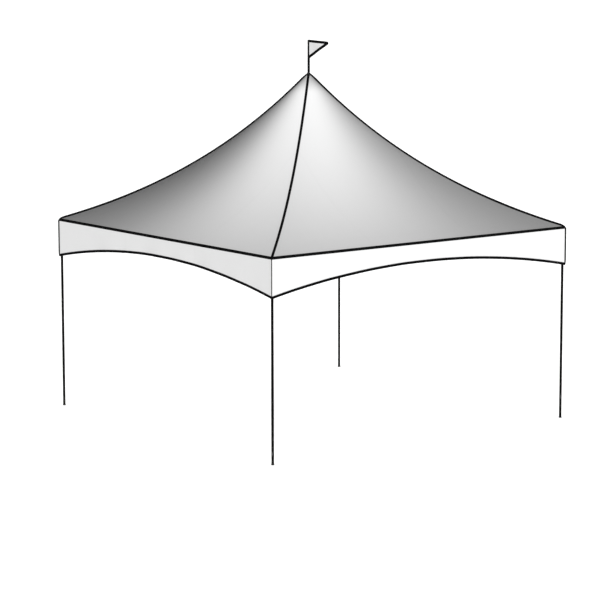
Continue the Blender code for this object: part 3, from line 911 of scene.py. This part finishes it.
plastic = Finish("black_plastic", MOULDED, 0.5, specular=0.4)
grain = plastic.noise(600, 2)
plastic.give("Roughness", 0.45 + 0.2 * grain)
plastic.give("Base Color", plastic.mix(plastic.noise(25, 3), DARK_MOULDED, WORN_MOULDED))
plastic.relief(grain, MOULD_GRAIN)

buckle_work = bmesh.new()
buckle_at = Vector((-LEG_AXIS, -LEG_AXIS, STRAP_Z)) + INWARD * (LEG_R + 2 * TAPE + BUCKLE.y / 2)
buckle_turn = facing(buckle_at, (0, 0, 1)) @ Matrix.Rotation(math.radians(-45), 4, "Z")
bmesh.ops.create_cube(buckle_work, size=1, matrix=buckle_turn @ Matrix.Diagonal((*BUCKLE, 1)))
soften(buckle_work, buckle_work.edges[:], BUCKLE_ROUNDING, 3)
for corner, turn in CORNERS.items():
    on_tent("leg_strap_" + corner, strap_work, strap_webbing, turn)
    on_tent("strap_buckle_" + corner, buckle_work, plastic, turn)

# Peak cap and flag staff: a moulded cap with a collar keeps rain out of the hole in the canopy, and a
# coated staff passes through it into the mast head.
dress(plastic, "peak_cap")
dress(frame_coat, "flag_staff")

# Pennant: pale grey polyester with a black sleeve that turns on the staff's pin, and a black binding
# folded over its two long edges. It streams out from the staff with a slight wave.
flag_low, flag_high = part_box("pennant")
HOIST = flag_high.z - flag_low.z
FLY = -flag_low.y
TIP = 0.028
DROOP = 0.009
SLEEVE_R = flag_high.x + 0.0024
SLEEVE_CLOTH = 0.001
SLEEVE_SIDES = 40
SLEEVE_ROUNDING = 0.010
SLEEVE_RIB = 0.0016
SLEEVE_RELIEF = 0.0003
FLAG_FROM = SLEEVE_R * 0.9
FLAG_RIPPLE = 0.004
FLAG_WAVE_ALONG = 8
FLAG_WAVE_UP = 1.5
FLAG_WAVE_START = 0.6
FLAG_CLOTH = 0.0008
FLAG_COLUMNS = 56
FLAG_ROWS = 20
FLAG_YARN = 0.0014
FLAG_RELIEF = 0.0004
FLAG_GREY = (0.84, 0.84, 0.845)
FLAG_SHADE = (0.79, 0.79, 0.795)
LOWER_BINDING = 0.039
UPPER_BINDING = 0.031
FLAG_BINDING_GAP = 0.0002
UPPER_OVERLAP = 0.0006


def flag_height(along):
    return HOIST + (TIP - HOIST) * along


def flag_point(along, up):
    """A point of the pennant: along from hoist to tip, and up from its lower edge as a share of its
    height."""
    high = flag_high.z - DROOP * along
    wave = FLAG_RIPPLE * along * math.sin(FLAG_WAVE_ALONG * along + FLAG_WAVE_UP * up + FLAG_WAVE_START)
    fly = FLAG_FROM + (FLY - FLAG_FROM) * along
    return Vector((wave, -fly, high + (up - 1) * flag_height(along)))


def flag_cloth(across, along):
    return across * FLY, along * flag_height(across)


pennant_cloth = Finish("pennant_cloth", FLAG_GREY, 0.75, specular=0.25)
warp = (pennant_cloth.over(0) * (math.tau / FLAG_YARN)).sine()
weft = (pennant_cloth.over(1) * (math.tau / FLAG_YARN)).sine()
slubs = pennant_cloth.noise(40, 4, stretch=(0.2, 1, 1), on_cloth=True)
pennant_cloth.give("Base Color", pennant_cloth.mix(slubs, FLAG_GREY, FLAG_SHADE))
pennant_cloth.relief(0.5 + 0.3 * warp * weft + 0.2 * slubs, FLAG_RELIEF)

flag_work = sheet(FLAG_COLUMNS, FLAG_ROWS, flag_point, cloth=flag_cloth)
bmesh.ops.translate(flag_work, verts=flag_work.verts[:], vec=(-FLAG_CLOTH / 2, 0, 0))
thicken(flag_work, FLAG_CLOTH)
flag = on_tent("pennant_flag", flag_work, pennant_cloth, body="pennant")
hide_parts("pennant")

sleeve_work = bmesh.new()
bmesh.ops.create_circle(sleeve_work, cap_ends=True, radius=SLEEVE_R, segments=SLEEVE_SIDES)
bmesh.ops.translate(sleeve_work, verts=sleeve_work.verts[:], vec=(0, 0, flag_high.z))
top_edges = sleeve_work.edges[:]
wall = bmesh.ops.extrude_edge_only(sleeve_work, edges=top_edges)
lowered = [item for item in wall["geom"] if isinstance(item, bmesh.types.BMVert)]
bmesh.ops.translate(sleeve_work, verts=lowered, vec=(0, 0, -HOIST))
soften(sleeve_work, top_edges, SLEEVE_ROUNDING, 5)
bmesh.ops.recalc_face_normals(sleeve_work, faces=sleeve_work.faces[:])
if max(sleeve_work.faces, key=lambda face: face.calc_center_median().z).normal.z < 0:
    bmesh.ops.reverse_faces(sleeve_work, faces=sleeve_work.faces[:])
thicken(sleeve_work, SLEEVE_CLOTH)
sleeve_cloth = Finish("sleeve_cloth", BLACK_YARN, 0.85, specular=0.15)
ribs = (sleeve_cloth.place(2) * (math.tau / SLEEVE_RIB)).sine()
sleeve_cloth.give("Base Color", sleeve_cloth.mix(sleeve_cloth.noise(80, 4), BLACK_YARN, WORN_YARN))
sleeve_cloth.relief(0.5 + 0.3 * ribs, SLEEVE_RELIEF)
sleeve = on_tent("pennant_sleeve", sleeve_work, sleeve_cloth, body="pennant")


def lower_edge(along, up):
    return flag_point(along, min(1.0, up / flag_height(along)))


def upper_edge(along, up):
    return flag_point(along, 1 - min(1.0, up / flag_height(along)))


lower_webbing = webbing("pennant_lower_webbing", LOWER_BINDING)
upper_webbing = webbing("pennant_upper_webbing", UPPER_BINDING)
lower_gap = FLAG_CLOTH / 2 + TAPE + FLAG_BINDING_GAP
upper_gap = lower_gap + UPPER_OVERLAP
lower_work = folded_tape(FLAG_COLUMNS, lower_edge, Vector((-1, 0, 0)), LOWER_BINDING, FLY, lower_gap)
upper_work = folded_tape(FLAG_COLUMNS, upper_edge, Vector((1, 0, 0)), UPPER_BINDING, FLY, upper_gap)
flag_bindings = [
    on_tent("pennant_binding_lower", lower_work, lower_webbing, body="pennant"),
    on_tent("pennant_binding_upper", upper_work, upper_webbing, body="pennant"),
]

# Studio: a pale floor that runs to the horizon under its own soft overhead light, a key light from the
# camera's side, a weaker one from behind, light that a floor would throw up, and an even fill.
FLOOR_R = 900
FLOOR_SIDES = 96
PALE = (0.9, 0.9, 0.9)
FILL = 0.06

floor_work = bmesh.new()
bmesh.ops.create_circle(floor_work, cap_ends=True, radius=FLOOR_R, segments=FLOOR_SIDES)
floor_mesh = bpy.data.meshes.new("floor")
floor_work.to_mesh(floor_mesh)
floor = bpy.data.objects.new("floor", floor_mesh)
bpy.context.scene.collection.objects.link(floor)
floor_mesh.materials.append(Finish("floor", PALE, 0.9, specular=0.0).material)
floor.visible_diffuse = False
floor.visible_glossy = False

floor_only = bpy.data.collections.new("floor_only")
floor_only.objects.link(floor)
not_floor = bpy.data.collections.new("not_floor")
not_floor.objects.link(floor)
not_floor.collection_objects[0].light_linking.link_state = "EXCLUDE"


def sun(name, turn, up, strength, softness, lights, blocked_by=None):
    """A far light that comes from over the horizon at a turn to the right of -Y, seen from the tent."""
    light = bpy.data.objects.new(name, bpy.data.lights.new(name, "SUN"))
    light.data.energy = strength
    light.data.angle = math.radians(softness)
    light.rotation_euler = (math.radians(90 - up), 0, -math.radians(turn))
    bpy.context.scene.collection.objects.link(light)
    light.light_linking.receiver_collection = lights
    light.light_linking.blocker_collection = blocked_by


sun("key", turn=36.5, up=10, strength=4.45, softness=12, lights=not_floor)
sun("back_light", turn=218, up=9, strength=2.6, softness=12, lights=not_floor)
sun("floor_bounce", turn=0, up=-90, strength=1.6, softness=60, lights=not_floor, blocked_by=not_floor)
sun("floor_wash", turn=0, up=85, strength=3.0, softness=60, lights=floor_only, blocked_by=floor_only)
sun("floor_shade", turn=0, up=85, strength=1.4, softness=100, lights=floor_only)

world = bpy.data.worlds.new("studio")
bpy.context.scene.world = world
world.use_nodes = True
sky = world.node_tree.nodes["Background"]
sky.inputs["Color"].default_value = (1, 1, 1, 1)
ray = world.node_tree.nodes.new("ShaderNodeLightPath")
seen = world.node_tree.nodes.new("ShaderNodeMath")
seen.operation = "MAXIMUM"
seen.inputs[1].default_value = FILL
world.node_tree.links.new(ray.outputs["Is Camera Ray"], seen.inputs[0])
world.node_tree.links.new(seen.outputs[0], sky.inputs["Strength"])
bpy.context.scene.view_settings.view_transform = "Standard"
